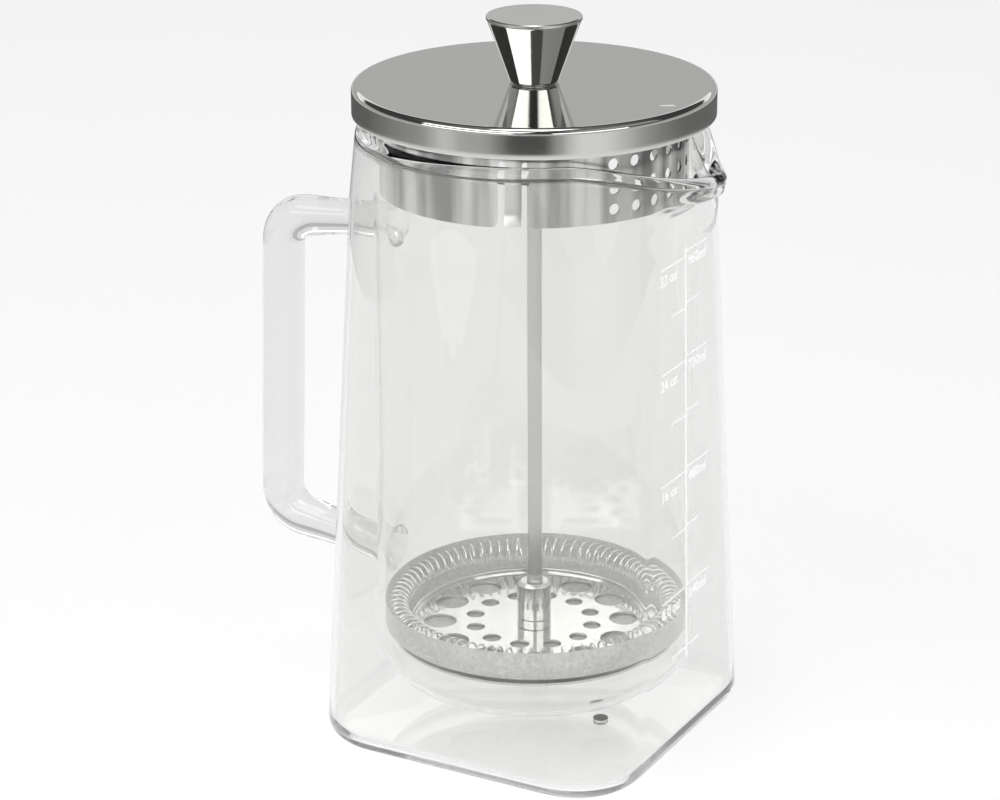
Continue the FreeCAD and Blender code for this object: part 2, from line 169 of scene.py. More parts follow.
# ---- mesh helpers -----------------------------------------------------------------------------------------
def new_object(name, points, faces, material, body, sharp=35.0):
    mesh = bpy.data.meshes.new(name)
    mesh.from_pydata((np.asarray(points, float) * MM).tolist(), [], [list(f) for f in faces])
    mesh.validate()
    mesh.materials.append(material)
    mesh.polygons.foreach_set("use_smooth", [True] * len(mesh.polygons))
    mesh.set_sharp_from_angle(angle=math.radians(sharp))
    thing = bpy.data.objects.new(name, mesh)
    bpy.context.scene.collection.objects.link(thing)
    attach(thing, body)
    return thing


def rings_to_mesh(rings, closed_start=True, closed_end=True, loop=False):
    """Quads between rings of equal length, with a fan at each end, or joined end to end."""
    count = len(rings[0])
    points = np.concatenate(rings)
    faces = []
    last = len(rings) if loop else len(rings) - 1
    for k in range(last):
        low = k * count
        high = ((k + 1) % len(rings)) * count
        for i in range(count):
            j = (i + 1) % count
            faces.append((low + i, low + j, high + j, high + i))
    if closed_start:
        points = np.vstack([points, rings[0].mean(0)])
        faces += [((i + 1) % count, i, len(points) - 1) for i in range(count)]
    if closed_end:
        top = (len(rings) - 1) * count
        points = np.vstack([points, rings[-1].mean(0)])
        faces += [(top + i, top + (i + 1) % count, len(points) - 1) for i in range(count)]
    return points, faces


def turned(points, faces, outwards=True):
    """The faces flipped where needed, so that they point outwards (or inwards)."""
    p = np.asarray(points)
    volume = 0.0
    for f in faces:
        a = p[f[0]]
        for m in range(1, len(f) - 1):
            volume += np.dot(a, np.cross(p[f[m]], p[f[m + 1]]))
    if (volume > 0) != outwards:
        faces = [tuple(reversed(f)) for f in faces]
    return points, faces


def joined(*parts):
    points, faces, start = [], [], 0
    for p, f in parts:
        points.append(np.asarray(p, float))
        faces += [tuple(i + start for i in face) for face in f]
        start += len(p)
    return np.concatenate(points), faces


def smooth_step(t):
    t = np.clip(t, 0.0, 1.0)
    return t * t * (3 - 2 * t)


def ring_at(distance, z):
    """A ring of the glass at a height; near the rim it sinks towards the tip of the spout."""
    off = np.abs((angles + math.pi) % (2 * math.pi) - math.pi)
    near = np.clip((DIP_START - off) / (DIP_START - DIP_FULL), 0.0, 1.0)
    share = (near + smooth_step(near)) / 2
    drop = SPOUT_DIP * share * smooth_step((z - DIP_FOOT_Z) / (RIM_Z - DIP_FOOT_Z))
    return np.stack([distance * np.cos(angles), distance * np.sin(angles), z - drop], 1)


def lathe(profile, steps=256, loop=True):
    """Surface of revolution from (radius, height) corners; loop closes the outline."""
    turn = np.arange(steps) * 2 * math.pi / steps
    rings = []
    for r, z in profile:
        rings.append(np.stack([r * np.cos(turn), r * np.sin(turn), np.full(steps, float(z))], 1))
    return turned(*rings_to_mesh(rings, not loop, not loop, loop))


def arc(cx, cz, radius, start, end, steps=8):
    """Points of an arc in the (radius, height) plane, angles in degrees."""
    sweep = np.radians(np.linspace(start, end, steps + 1))
    return [(cx + radius * math.cos(a), cz + radius * math.sin(a)) for a in sweep]


def tube_along(path, radii, sides=24, closed=False, open_ends=False):
    """Round tube along a line of points; radii is one number or one for each point."""
    path = np.asarray(path, float)
    radii = np.broadcast_to(np.asarray(radii, float), (len(path),))
    if closed:
        ahead = np.roll(path, -1, 0) - np.roll(path, 1, 0)
    else:
        ahead = np.gradient(path, axis=0)
    ahead /= np.linalg.norm(ahead, axis=1)[:, None]
    side = np.zeros_like(path)
    guide = np.cross(ahead[0], (0.0, 1.0, 0.0))
    if np.linalg.norm(guide) < 0.1:
        guide = np.cross(ahead[0], (1.0, 0.0, 0.0))
    for k in range(len(path)):
        guide = guide - ahead[k] * np.dot(guide, ahead[k])
        guide /= np.linalg.norm(guide)
        side[k] = guide
    other = np.cross(ahead, side)
    turn = np.arange(sides) * 2 * math.pi / sides
    rings = []
    for k in range(len(path)):
        round_it = np.cos(turn)[:, None] * side[k] + np.sin(turn)[:, None] * other[k]
        rings.append(path[k] + radii[k] * round_it)
    capped = not closed and not open_ends
    return turned(*rings_to_mesh(rings, capped, capped, closed))


def inside(points, loop):
    """Which points lie inside a closed 2-D loop."""
    x, y = points[:, 0], points[:, 1]
    odd = np.zeros(len(points), bool)
    for (x0, y0), (x1, y1) in zip(loop, loop[1:] + loop[:1]):
        if y0 == y1:
            continue
        crosses = (y0 > y) != (y1 > y)
        odd ^= crosses & (x < (x1 - x0) * (y - y0) / (y1 - y0) + x0)
    return odd


def circle_loop(x, y, radius, steps=32):
    sweep = np.arange(steps) * 2 * math.pi / steps
    return [(x + radius * math.cos(a), y + radius * math.sin(a)) for a in sweep]


def sheet_mesh(outline, holes, grid, upper, lower):
    """Perforated sheet: a flat outline with holes, mapped to an upper and a lower face."""
    corners, edges = [], []
    for loop in [outline] + holes:
        first = len(corners)
        corners += loop
        edges += [(first + i, first + (i + 1) % len(loop)) for i in range(len(loop))]
    spare = np.asarray(grid, float).reshape(-1, 2)
    if len(spare):
        rim = np.asarray(corners)
        keep = inside(spare, outline)
        for loop in holes:
            keep &= ~inside(spare, loop)
        gap = np.array([np.min(np.hypot(rim[:, 0] - q[0], rim[:, 1] - q[1])) for q in spare])
        spare = spare[keep & (gap > 0.35)]
        corners = corners + [tuple(q) for q in spare]
    flat, _, triangles, _, _, _ = delaunay_2d_cdt([tuple(map(float, c)) for c in corners], edges, [], 0, 1e-5)
    flat = np.array([tuple(c) for c in flat])
    middle = np.array([flat[list(t)].mean(0) for t in triangles])
    good = inside(middle, outline)
    for loop in holes:
        good &= ~inside(middle, loop)
    triangles = [tuple(t) for t, g in zip(triangles, good) if g]
    count = len(flat)
    points = np.concatenate([upper(flat), lower(flat)])
    faces = list(triangles) + [tuple(i + count for i in reversed(t)) for t in triangles]
    seen = {}
    for t in triangles:
        for a, b in zip(t, t[1:] + t[:1]):
            seen[(a, b)] = True
    for a, b in seen:
        if (b, a) not in seen:
            faces.append((b, a, a + count, b + count))
    return turned(points, faces)


# ---- materials --------------------------------------------------------------------------------------------
def principled(name, colour, **values):
    material = bpy.data.materials.new(name)
    material.use_nodes = True
    shader = material.node_tree.nodes["Principled BSDF"]
    shader.inputs["Base Color"].default_value = (*colour, 1.0)
    for key, value in values.items():
        shader.inputs[key.replace("_", " ")].default_value = value
    return material


def add_bump(material, height, strength, distance):
    nodes, links = material.node_tree.nodes, material.node_tree.links
    bump = nodes.new("ShaderNodeBump")
    bump.inputs["Strength"].default_value = strength
    bump.inputs["Distance"].default_value = distance
    links.new(height, bump.inputs["Height"])
    links.new(bump.outputs["Normal"], nodes["Principled BSDF"].inputs["Normal"])


def stretched_noise(material, scale, detail=2.0):
    """Noise in the piece's own coordinates, drawn out differently along each axis."""
    nodes, links = material.node_tree.nodes, material.node_tree.links
    place = nodes.new("ShaderNodeTexCoord")
    stretch = nodes.new("ShaderNodeMapping")
    stretch.inputs["Scale"].default_value = scale
    noise = nodes.new("ShaderNodeTexNoise")
    noise.inputs["Scale"].default_value = 1.0
    noise.inputs["Detail"].default_value = detail
    links.new(place.outputs["Object"], stretch.inputs["Vector"])
    links.new(stretch.outputs["Vector"], noise.inputs["Vector"])
    return noise.outputs["Fac"]


GLASS = {"Roughness": 0.0, "IOR": 1.47, "Transmission_Weight": 1.0}
# Painted shade: the three glass pieces are copies of one clear glass, each darkened by a different tint.
wall_glass = principled("wall_glass", (0.915, 0.915, 0.91), **GLASS)
beaker_glass = principled("beaker_glass", (0.985, 0.985, 0.98), **GLASS)
handle_glass = principled("handle_glass", (0.83, 0.83, 0.825), **GLASS)
for glass in (wall_glass, beaker_glass, handle_glass):
    add_bump(glass, stretched_noise(glass, (22, 22, 6), 0.0), 0.03, 0.002)

lid_steel = principled("lid_steel", (0.62, 0.62, 0.60), Metallic=1.0, Roughness=0.06)
skirt_steel = principled("skirt_steel", (0.62, 0.62, 0.60), Metallic=1.0, Roughness=0.17)
add_bump(skirt_steel, stretched_noise(skirt_steel, (90, 90, 4)), 0.12, 0.001)
mirror_steel = principled("mirror_steel", (0.72, 0.72, 0.70), Metallic=1.0, Roughness=0.04)
brushed_steel_painted_reflection = principled("brushed_steel_painted_reflection", (0.62, 0.62, 0.60), Metallic=1.0, Roughness=0.28)
add_bump(brushed_steel_painted_reflection, stretched_noise(brushed_steel_painted_reflection, (40, 40, 3500)), 0.25, 0.0001)


def streaked(material, scale, dark, light, low, high):
    """Base colour that wanders between two greys in long streaks; used for painted reflection on the collar,
    and for grain with painted glints on the screen.
    """
    nodes, links = material.node_tree.nodes, material.node_tree.links
    ramp = nodes.new("ShaderNodeValToRGB")
    ramp.color_ramp.elements[0].position = low
    ramp.color_ramp.elements[0].color = (dark, dark, dark * 0.98, 1.0)
    ramp.color_ramp.elements[1].position = high
    ramp.color_ramp.elements[1].color = (light, light, light * 0.98, 1.0)
    links.new(stretched_noise(material, scale, 3.0), ramp.inputs["Fac"])
    links.new(ramp.outputs["Color"], nodes["Principled BSDF"].inputs["Base Color"])


# Painted reflection: the collar's base colour runs in long light and dark streaks that stand in for reflected
# light and shade. The brushing itself is the bump.
streaked(brushed_steel_painted_reflection, (130, 130, 6), 0.24, 0.74, 0.38, 0.62)
satin_steel = principled("satin_steel", (0.62, 0.62, 0.60), Metallic=1.0, Roughness=0.25)
hub_steel = principled("hub_steel", (0.70, 0.70, 0.68), Metallic=1.0, Roughness=0.2)
plate_steel = principled("plate_steel", (0.60, 0.60, 0.585), Metallic=1.0, Roughness=0.08)
# Painted light: the coil wire and the bottom nut are lighter copies of the steel.
wire_steel = principled("wire_steel", (0.95, 0.95, 0.94), Metallic=1.0, Roughness=0.12)
nut_steel = principled("nut_steel", (0.92, 0.92, 0.90), Metallic=1.0, Roughness=0.5)
dark_plastic = principled("dark_plastic", (0.03, 0.03, 0.03), Roughness=0.45)
silicone = principled(
    "clear_silicone", (0.96, 0.96, 0.95), Roughness=0.25, IOR=1.41, Transmission_Weight=0.95)
# Painted light: the inside of the lid is a lighter copy of the steel, so that the collar reflects a brighter
# surface.
lid_inside_painted_light = principled("lid_inside_painted_light", (0.88, 0.88, 0.86), Metallic=1.0, Roughness=0.55)
glowing_print = principled("glowing_print", (0.9, 0.9, 0.89), Roughness=0.6)
print_glow_inputs = glowing_print.node_tree.nodes["Principled BSDF"].inputs
# Painted light: the printed scale glows a little of its own, though it is no lamp.
print_glow_inputs["Emission Color"].default_value = (1, 1, 1, 1)
print_glow_inputs["Emission Strength"].default_value = 0.30

MESH_PITCH = 0.55            # spacing of the woven wires


def woven_steel():
    """Woven wire: see-through gaps and rounded wires, from the piece's own UV map."""
    # Painted light: the screen's base colour is lighter than the other steel.
    material = principled("woven_steel", (0.70, 0.70, 0.69), Metallic=1.0, Roughness=0.35)
    nodes, links = material.node_tree.nodes, material.node_tree.links
    place = nodes.new("ShaderNodeTexCoord")
    split = nodes.new("ShaderNodeSeparateXYZ")
    links.new(place.outputs["UV"], split.inputs["Vector"])
    waves = []
    for axis in ("X", "Y"):
        turn = nodes.new("ShaderNodeMath")
        turn.operation = "MULTIPLY"
        turn.inputs[1].default_value = math.pi / MESH_PITCH
        wave = nodes.new("ShaderNodeMath")
        wave.operation = "SINE"
        size = nodes.new("ShaderNodeMath")
        size.operation = "ABSOLUTE"
        links.new(split.outputs[axis], turn.inputs[0])
        links.new(turn.outputs[0], wave.inputs[0])
        links.new(wave.outputs[0], size.inputs[0])
        waves.append(size.outputs[0])
    wires = nodes.new("ShaderNodeMath")
    wires.operation = "MAXIMUM"
    links.new(waves[0], wires.inputs[0])
    links.new(waves[1], wires.inputs[1])
    cover = nodes.new("ShaderNodeMapRange")
    cover.inputs["From Min"].default_value = 0.45
    cover.inputs["From Max"].default_value = 0.65
    cover.inputs["To Min"].default_value = 0.25
    links.new(wires.outputs[0], cover.inputs["Value"])
    links.new(cover.outputs["Result"], nodes["Principled BSDF"].inputs["Alpha"])
    add_bump(material, wires.outputs[0], 0.8, 0.0002)
    return material


mesh_steel = woven_steel()
# The screen's fine mottling is partly the weave's grain and partly painted glints.
streaked(mesh_steel, (800, 800, 900), 0.60, 0.84, 0.30, 0.70)

# ---- glass body -------------------------------------------------------------------------------------------
outside = []
flat_edge = outer_ring(0.0, BASE_EDGE)
for k in range(1, 13):
    outside.append(ring_at(flat_edge * k / 12, 0.35 * (1 - (k / 12) ** 4)))
for deg in np.linspace(0, 90, 13)[1:]:
    turn = math.radians(deg)
    z = BASE_EDGE * (1 - math.cos(turn))
    outside.append(ring_at(outer_ring(z, BASE_EDGE * (1 - math.sin(turn))), z))
for z in np.linspace(BASE_EDGE, NECK_Z, 40)[1:]:
    outside.append(ring_at(outer_ring(z), z))
for z in np.linspace(NECK_Z, RIM_Z - RIM_ARCH, 32)[1:]:
    outside.append(ring_at(outer_ring(z), z))
rim_out = outer_ring(RIM_Z)
rim_in = inner_ring(RIM_Z)
for t in np.linspace(0, math.pi, 17)[1:]:
    middle, half = (rim_out + rim_in) / 2, (rim_out - rim_in) / 2
    outside.append(ring_at(middle + half * math.cos(t), RIM_Z - RIM_ARCH + RIM_ARCH * math.sin(t)))
for z in np.linspace(RIM_Z - RIM_ARCH, SPOUT_FOOT_Z, 30)[1:]:
    outside.append(ring_at(inner_ring(z), z))
for z in np.linspace(SPOUT_FOOT_Z, BEAKER_FLOOR_Z + BEAKER_CORNER, 12)[1:]:
    outside.append(ring_at(inner_ring(z), z))
for deg in np.linspace(90, 0, 19)[1:]:
    turn = math.radians(deg)
    z = BEAKER_FLOOR_Z + BEAKER_CORNER * (1 - math.cos(turn))
    outside.append(ring_at(inner_ring(z) - BEAKER_CORNER * (1 - math.sin(turn)), z))
floor_edge = inner_ring(BEAKER_FLOOR_Z) - BEAKER_CORNER
for k in range(11, 0, -1):
    outside.append(ring_at(floor_edge * k / 12, BEAKER_FLOOR_Z))

gap = []
void_edge = BASE_EDGE - OUTER_WALL
void_floor = outer_ring(OUTER_FLOOR, OUTER_WALL + void_edge)
for k in range(1, 13):
    gap.append(ring_at(void_floor * k / 12, OUTER_FLOOR))
for deg in np.linspace(0, 90, 13)[1:]:
    turn = math.radians(deg)
    z = OUTER_FLOOR + void_edge * (1 - math.cos(turn))
    gap.append(ring_at(outer_ring(z, OUTER_WALL + void_edge * (1 - math.sin(turn))), z))
for z in np.linspace(OUTER_FLOOR + void_edge, NECK_Z, 40)[1:]:
    gap.append(ring_at(outer_ring(z, OUTER_WALL), z))
for z in np.linspace(NECK_Z, VOID_TOP_Z - VOID_ARCH, 32)[1:]:
    gap.append(ring_at(outer_ring(z, OUTER_WALL), z))
void_out = outer_ring(VOID_TOP_Z, OUTER_WALL)
void_in = inner_ring(VOID_TOP_Z, BEAKER_WALL)
for t in np.linspace(0, math.pi, 13)[1:]:
    middle, half = (void_out + void_in) / 2, (void_out - void_in) / 2
    gap.append(ring_at(middle + half * math.cos(t), VOID_TOP_Z - VOID_ARCH + VOID_ARCH * math.sin(t)))
for z in np.linspace(VOID_TOP_Z - VOID_ARCH, SPOUT_FOOT_Z, 30)[1:]:
    gap.append(ring_at(inner_ring(z, BEAKER_WALL), z))
under_corner = BEAKER_CORNER + BEAKER_WALL
under = BEAKER_FLOOR_Z - BEAKER_WALL
for z in np.linspace(SPOUT_FOOT_Z, under + under_corner, 12)[1:]:
    gap.append(ring_at(inner_ring(z, BEAKER_WALL), z))
for deg in np.linspace(90, 0, 19)[1:]:
    turn = math.radians(deg)
    z = under + under_corner * (1 - math.cos(turn))
    gap.append(ring_at(inner_ring(z, BEAKER_WALL) - under_corner * (1 - math.sin(turn)), z))
under_edge = inner_ring(under, BEAKER_WALL) - under_corner
for k in range(11, 0, -1):
    gap.append(ring_at(under_edge * k / 12, under))

body_shell = turned(*rings_to_mesh(outside), True)
gap_shell = turned(*rings_to_mesh(gap), False)
glass_body = new_object("glass_body", *joined(body_shell, gap_shell), wall_glass, "carafe", sharp=60)
glass_body.data.materials.append(beaker_glass)
for polygon in glass_body.data.polygons:
    reach = math.hypot(polygon.center.x, polygon.center.y) / MM
    if reach < BEAKER_RADIUS + BEAKER_WALL + BEAKER_TAPER + 0.1 and polygon.center.z / MM > 6.0:
        polygon.material_index = 1
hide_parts("outer_glass", "inner_glass")
glass_body.visible_shadow = False


def flat_wall(z):
    """How far the flat faces are from the axis at a height."""
    return float(outer_ring(z)[GLASS_SEGMENTS // 2])


# ---- handle -----------------------------------------------------------------------------------------------
def handle_line():
    corners = [
        np.array([HANDLE_ROOT_X, HANDLE_ROOT_TOP_Z]),
        np.array(HANDLE_TOP),
        np.array(HANDLE_BOTTOM),
        np.array([HANDLE_ROOT_X, HANDLE_ROOT_BOTTOM_Z]),
    ]
    line = [corners[0]]
    for before, corner, after in zip(corners, corners[1:], corners[2:]):
        arrive = (before - corner) / np.linalg.norm(before - corner)
        leave = (after - corner) / np.linalg.norm(after - corner)
        half = math.acos(float(arrive @ leave)) / 2
        trim = HANDLE_BEND / math.tan(half)
        middle = (arrive + leave) / np.linalg.norm(arrive + leave)
        centre = corner + middle * (HANDLE_BEND / math.sin(half))
        first, last = corner + arrive * trim - centre, corner + leave * trim - centre
        a0 = math.atan2(first[1], first[0])
        a1 = math.atan2(last[1], last[0])
        sweep = (a1 - a0 + math.pi) % (2 * math.pi) - math.pi
        for a in np.linspace(a0, a0 + sweep, 13):
            line.append(centre + HANDLE_BEND * np.array([math.cos(a), math.sin(a)]))
    line.append(corners[-1])
    return np.array(line)


def resample(line, spacing):
    gaps = np.linalg.norm(np.diff(line, axis=0), axis=1)
    along = np.concatenate([[0], np.cumsum(gaps)])
    places = np.linspace(0, along[-1], int(along[-1] / spacing) + 1)
    return np.stack([np.interp(places, along, line[:, k]) for k in range(line.shape[1])], 1)


path2 = resample(handle_line(), 0.5)
walls = np.array([-flat_wall(z) + 0.3 for z in path2[:, 1]])
path2 = path2[path2[:, 0] <= walls]
kernel = np.ones(9) / 9
for axis in (0, 1):
    path2[4:-4, axis] = np.convolve(path2[:, axis], kernel, "valid")
from_wall = np.array([-flat_wall(z) for z in path2[:, 1]]) - path2[:, 0]
grip = np.clip((from_wall - GRIP_START) / GRIP_RUN, 0, 1)
grip = grip * grip * (3 - 2 * grip)
weld = np.exp(-np.clip(from_wall, 0, None) / WELD_FADE)
radii = LEG_RADIUS + (GRIP_RADIUS - LEG_RADIUS) * grip + (WELD_RADIUS - LEG_RADIUS) * weld
path3 = np.stack([path2[:, 0], np.zeros(len(path2)), path2[:, 1]], 1)
handle_tube = tube_along(path3, radii, 64, open_ends=True)
glass_handle = new_object("glass_handle", *handle_tube, handle_glass, "carafe", sharp=60)
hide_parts("handle")
glass_handle.visible_shadow = False

# ---- printed volume scale on the spout side ---------------------------------------------------------------
PRINT_OUT = 0.06             # how far the print stands out from the glass
LINE_WIDTH = 1.0
TICK_HEIGHT = 0.5
TOP_MARK_Z = 160.2           # height of the 960 ml mark
TOP_MARK_ML = 960
MARK_STEP_ML = 120
TOP_MARK_OUNCES = 32
MARK_STEP_OUNCES = 4
MARK_COUNT = 8
MARK_GAP = 15.5              # between the top two marks, before the widening
MARK_WIDENING = 0.36
ML_PER_OUNCE = 29.57
DIGIT_SIZE = 4.6
DIGIT_DROP = 5.0             # the numbers stand below their mark
SCALE_FOOT_Z, SCALE_TOP_Z = 30.0, 161.5
TICK_START = 0.4
LONG_TICK_ML, SHORT_TICK_ML = 15.5, 9.0
LONG_TICK_OZ, SHORT_TICK_OZ = 16.5, 10.0


def volume_z(ml):
    """Height of a volume mark; the beaker's rounded foot makes the lower marks wider apart."""
    step = (TOP_MARK_ML - ml) / MARK_STEP_ML
    return TOP_MARK_Z - MARK_GAP * step - MARK_WIDENING * step ** 2


def strip(y0, y1, z0, z1):
    points = []
    for z in (z0, z1):
        wall = flat_wall(z)
        for y in (y0, y1):
            points += [(wall - 0.05, y, z), (wall + PRINT_OUT, y, z)]
    faces = [(0, 1, 3, 2), (4, 6, 7, 5), (0, 4, 5, 1), (2, 3, 7, 6), (0, 2, 6, 4), (1, 5, 7, 3)]
    return turned(points, faces)


def lettering(text, y, z):
    """Text as a thin mesh on the flat face, its left end at y and its foot at z."""
    curve = bpy.data.curves.new("volume_text", "FONT")
    curve.body = text
    curve.size = DIGIT_SIZE
    curve.offset = 0.09
    curve.extrude = 0.04
    curve.resolution_u = 3
    holder = bpy.data.objects.new("volume_text", curve)
    bpy.context.scene.collection.objects.link(holder)
    bpy.context.view_layer.update()
    graph = bpy.context.evaluated_depsgraph_get()
    mesh = bpy.data.meshes.new_from_object(holder.evaluated_get(graph))
    points = []
    for v in mesh.vertices:
        height = z + v.co.y
        points.append((flat_wall(height) + v.co.z + 0.02, y + v.co.x * 1.08, height))
    faces = [tuple(p.vertices) for p in mesh.polygons]
    bpy.data.objects.remove(holder)
    bpy.data.curves.remove(curve)
    bpy.data.meshes.remove(mesh)
    return points, faces


marks = [strip(-LINE_WIDTH / 2, LINE_WIDTH / 2, SCALE_FOOT_Z, SCALE_TOP_Z)]
for step in range(MARK_COUNT):
    ml = TOP_MARK_ML - MARK_STEP_ML * step
    ounces = TOP_MARK_OUNCES - MARK_STEP_OUNCES * step
    z_ml = volume_z(ml)
    z_oz = volume_z(ounces * ML_PER_OUNCE)
    long_mark = step % 2 == 0
    ml_end = LONG_TICK_ML if long_mark else SHORT_TICK_ML
    oz_end = LONG_TICK_OZ if long_mark else SHORT_TICK_OZ
    marks.append(strip(TICK_START, ml_end, z_ml - TICK_HEIGHT / 2, z_ml + TICK_HEIGHT / 2))
    marks.append(strip(-oz_end, -TICK_START, z_oz - TICK_HEIGHT / 2, z_oz + TICK_HEIGHT / 2))
    if long_mark:
        marks.append(lettering(str(ml) + "ml", 1.6, z_ml - DIGIT_DROP))
        ounce_text = "8.0 oz" if ounces == 8 else str(ounces) + " oz"
        marks.append(lettering(ounce_text, -17.0, z_oz - DIGIT_DROP))
volume_scale = new_object("volume_scale", *joined(*marks), glowing_print, "carafe")
volume_scale.visible_shadow = False

# ---- lid --------------------------------------------------------------------------------------------------
LID_RADIUS = lid_high.y
LID_TOP = lid_high.z
LID_FOOT = lid_low.z
SHEET = 0.8
LID_EDGE = 1.9               # radius of the rounded edge
LID_HOLE = 4.0
shoulder = (LID_RADIUS - LID_EDGE, LID_TOP - LID_EDGE)
lid_line = [(LID_HOLE, LID_TOP), (20.0, LID_TOP), (45.0, LID_TOP), (LID_RADIUS - LID_EDGE - 0.3, LID_TOP)]
lid_line += arc(*shoulder, LID_EDGE, 90, 0, 14)
lid_line += [(LID_RADIUS, LID_FOOT + 2.0)]
lid_line += arc(LID_RADIUS - SHEET / 2, LID_FOOT + SHEET / 2, SHEET / 2, 0, -180, 8)
lid_line += arc(*shoulder, LID_EDGE - SHEET, 0, 90, 10)
lid_line += [(LID_HOLE, LID_TOP - SHEET)]
lid_shell = new_object("lid_shell", *lathe(lid_line, 360), lid_steel, "lid", sharp=30)
lid_shell.data.materials.append(skirt_steel)
lid_shell.data.materials.append(lid_inside_painted_light)
for polygon in lid_shell.data.polygons:
    if abs(polygon.normal.z) < 0.2 and polygon.center.z / MM < LID_TOP - LID_EDGE + 0.5:
        polygon.material_index = 1
    outward = polygon.normal.x * polygon.center.x + polygon.normal.y * polygon.center.y
    if polygon.normal.z < -0.2 or outward < -0.0001:
        polygon.material_index = 2
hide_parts("lid_cap")

ARROW_TURN = math.radians(-7)
ARROW_RISE = 0.15
ARROW_CENTRE = 46.7
arrow_flat = [(49.6, 0.0), (45.4, 2.7), (45.4, -2.7)]
arrow_points = []
for scale, z in ((1.0, LID_TOP - 0.05), (1.0, LID_TOP + 0.02), (0.72, LID_TOP + ARROW_RISE)):
    for r, w in arrow_flat:
        r2, w2 = ARROW_CENTRE + (r - ARROW_CENTRE) * scale, w * scale
        arrow_points.append((
            r2 * math.cos(ARROW_TURN) - w2 * math.sin(ARROW_TURN),
            r2 * math.sin(ARROW_TURN) + w2 * math.cos(ARROW_TURN),
            z,
        ))
arrow_faces = [(2, 1, 0), (6, 7, 8)]
for level in (0, 3):
    for i in range(3):
        j = (i + 1) % 3
        arrow_faces.append((level + i, level + j, level + 3 + j, level + 3 + i))
pour_arrow = new_object("pour_arrow", *turned(arrow_points, arrow_faces), lid_steel, "lid")

# ---- strainer collar --------------------------------------------------------------------------------------
COLLAR_RADIUS = collar_high.y
COLLAR_SHEET = 0.6
COLLAR_FOOT = collar_low.z
COLLAR_TOP = collar_high.z
SLOT_WIDTH = 2.1
SLOT_TOP = COLLAR_FOOT + 19.1
TONGUE_WIDTH = 4.7
TONGUE_FOOT = COLLAR_FOOT + 0.7
TONGUE_CREASE = COLLAR_FOOT + 4.5
TONGUE_SPLAY = 0.38
TONGUE_ANGLES = (-69.2, 70.8, 180.8)
PANEL_CORNER = 1.7
SEAM_ANGLE = -125.0          # where the bent strip meets itself
HOLE_RADIUS = 1.7
HOLE_CENTRE = 0.8            # angle of the middle of the pattern, in degrees
HOLE_COLUMNS = 8
HOLE_PITCH = 9.5             # angle between columns, in degrees
HOLE_ROWS = (COLLAR_FOOT + 17.0, COLLAR_FOOT + 10.0, COLLAR_FOOT + 3.9)


def across_at(angle):
    """Place of an angle along the unrolled strip."""
    return math.radians((angle - SEAM_ANGLE) % 360.0) * COLLAR_RADIUS


def collar_outline():
    length = 2 * math.pi * COLLAR_RADIUS
    line = [(0.0, COLLAR_TOP), (0.0, COLLAR_FOOT)]
    inner = TONGUE_WIDTH / 2
    outer = inner + SLOT_WIDTH
    for centre in sorted(across_at(a) for a in TONGUE_ANGLES):
        start = line[-1][0]
        stop = centre - outer - PANEL_CORNER
        line += [(u, COLLAR_FOOT) for u in np.linspace(start, stop, int((stop - start) / 1.5) + 2)[1:]]
        line += [(stop + x, z) for x, z in arc(0, COLLAR_FOOT + PANEL_CORNER, PANEL_CORNER, -90, 0, 6)[1:]]
        line.append((centre - outer, SLOT_TOP - SLOT_WIDTH / 2))
        bow = arc(centre - (inner + outer) / 2, SLOT_TOP - SLOT_WIDTH / 2, SLOT_WIDTH / 2, 180, 0, 8)
        line += bow[1:]
        line.append((centre - inner, TONGUE_CREASE))
        line += [(centre - inner + x, z) for x, z in arc(0.6, TONGUE_FOOT + 0.6, 0.6, 180, 270, 4)]
        line += [(centre + inner - 0.6 + x, z) for x, z in arc(0, TONGUE_FOOT + 0.6, 0.6, 270, 360, 4)]
        line.append((centre + inner, TONGUE_CREASE))
        bow = arc(centre + (inner + outer) / 2, SLOT_TOP - SLOT_WIDTH / 2, SLOT_WIDTH / 2, 180, 0, 8)
        line += bow
        corner_line = arc(0, COLLAR_FOOT + PANEL_CORNER, PANEL_CORNER, 180, 270, 6)
        line += [(centre + outer + PANEL_CORNER + x, z) for x, z in corner_line]
    start = line[-1][0]
    line += [(u, COLLAR_FOOT) for u in np.linspace(start, length, int((length - start) / 1.5) + 2)[1:]]
    line.append((length, COLLAR_TOP))
    line += [(u, COLLAR_TOP) for u in np.linspace(length, 0, int(length / 1.5))[1:-1]]
    return [(float(u), float(z)) for u, z in line]


def bent(offset):
    """Maps the unrolled strip to the cylinder, with the feet of the tongues bent outwards."""
    def place(flat):
        u, z = flat[:, 0], flat[:, 1]
        turn = u / COLLAR_RADIUS + math.radians(SEAM_ANGLE)
        r = np.full(len(flat), COLLAR_RADIUS + offset)
        for a in TONGUE_ANGLES:
            on = np.abs(u - across_at(a)) < TONGUE_WIDTH / 2 + 0.1
            r += np.where(on & (z < TONGUE_CREASE), (TONGUE_CREASE - z) * TONGUE_SPLAY, 0)
        return np.stack([r * np.cos(turn), r * np.sin(turn), z], 1)
    return place


pour_holes = []
for column in range(HOLE_COLUMNS):
    column_angle = HOLE_CENTRE + (column - (HOLE_COLUMNS - 1) / 2) * HOLE_PITCH
    for z in HOLE_ROWS:
        pour_holes.append(circle_loop(across_at(column_angle), z, HOLE_RADIUS, 28))
length = 2 * math.pi * COLLAR_RADIUS
grid = [(u, z) for u in np.arange(0.8, length, 1.6) for z in np.arange(COLLAR_FOOT + 0.8, COLLAR_TOP, 2.4)]
collar_sheet = sheet_mesh(collar_outline(), pour_holes, grid, bent(0.0), bent(-COLLAR_SHEET))
flange = lathe([
    (38.0, COLLAR_TOP), (COLLAR_RADIUS - 0.1, COLLAR_TOP),
    (COLLAR_RADIUS - 0.1, COLLAR_TOP - COLLAR_SHEET), (38.0, COLLAR_TOP - COLLAR_SHEET),
])
collar = new_object("collar_sheet", *joined(collar_sheet, flange), brushed_steel_painted_reflection, "lid", sharp=40)
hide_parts("strainer_collar")

